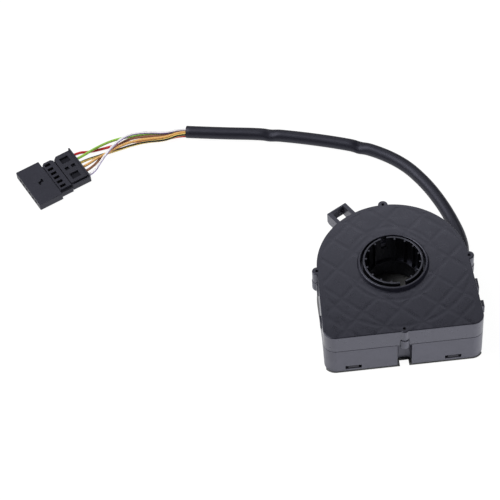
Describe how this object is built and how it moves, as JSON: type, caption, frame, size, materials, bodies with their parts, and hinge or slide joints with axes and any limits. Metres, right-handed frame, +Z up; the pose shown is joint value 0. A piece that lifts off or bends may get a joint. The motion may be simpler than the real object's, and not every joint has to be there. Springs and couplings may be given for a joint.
{
  "type": "steering angle sensor",
  "caption": "Hollow-shaft steering angle sensor: flat black housing with fixing ears and a side loop, a ribbed hub that turns, and a sleeved lead with a flat plug.",
  "frame": {"origin": "on the hub's axis at the level of the underside, 2.4 mm under the hub's lower end", "axes": "+Z up along the hub's axis, +X to the right along the flat front wall, +Y towards the round back"},
  "size_m": [0.2423, 0.1784, 0.0322],
  "materials": {
    "cover_plastic": "fine satin texture",
    "housing_plastic": "satin",
    "lid_plastic": "satin",
    "hub_plastic": "semi-gloss",
    "carrier_plastic": "natural",
    "spring_metal": "bright rolled strip",
    "felt": "dense felt",
    "board": "solder mask on glass laminate",
    "track_ink": "printed carbon",
    "chip_plastic": "moulded",
    "can_metal": "tinned",
    "capacitor_plastic": "moulded",
    "resistor_ceramic": "printed",
    "pin_metal": "tinned",
    "grommet_rubber": "matt",
    "lead_insulation": "smooth",
    "sleeve_vinyl": "soft smooth vinyl",
    "plug_plastic": "matt moulded",
    "terminal_metal": "tinned strip",
    "white_violet": "smooth, with a stripe",
    "green": "smooth",
    "yellow_black": "smooth, with a stripe",
    "tan_brown": "smooth, with a stripe",
    "brown": "smooth",
    "red": "smooth"
  },
  "bodies": {
    "housing": {"top_cover": "cover_plastic", "lower_housing": "housing_plastic", "base_lid": "lid_plastic", "felt_ring": "felt", "track_board": "board", "resistor_tracks": "track_ink", "main_board": "board", "microcontroller": "chip_plastic", "bus_driver": "chip_plastic", "regulator": "chip_plastic", "crystal": "can_metal", "capacitors": "capacitor_plastic", "chip_resistors": "resistor_ceramic", "link_pins": "pin_metal", "cable_grommet": "grommet_rubber", "inner_leads": "lead_insulation", "cable_sleeve": "sleeve_vinyl", "connector_body": "plug_plastic", "connector_cap": "plug_plastic", "connector_terminals": "terminal_metal", "wire_white_violet": "white_violet", "wire_green": "green", "wire_yellow_black": "yellow_black", "wire_tan_brown": "tan_brown", "wire_brown": "brown", "wire_red": "red"},
    "rotor": {"rotor_hub": "hub_plastic", "wiper_carrier": "carrier_plastic", "wiper_1": "spring_metal", "wiper_2": "spring_metal"}
  },
  "joints": [
    {"name": "rotor_spin", "type": "hinge", "parent": "housing", "child": "rotor", "pos_m": [0, 0, 0], "axis": [0, 0, 1], "continuous": true}
  ]
}
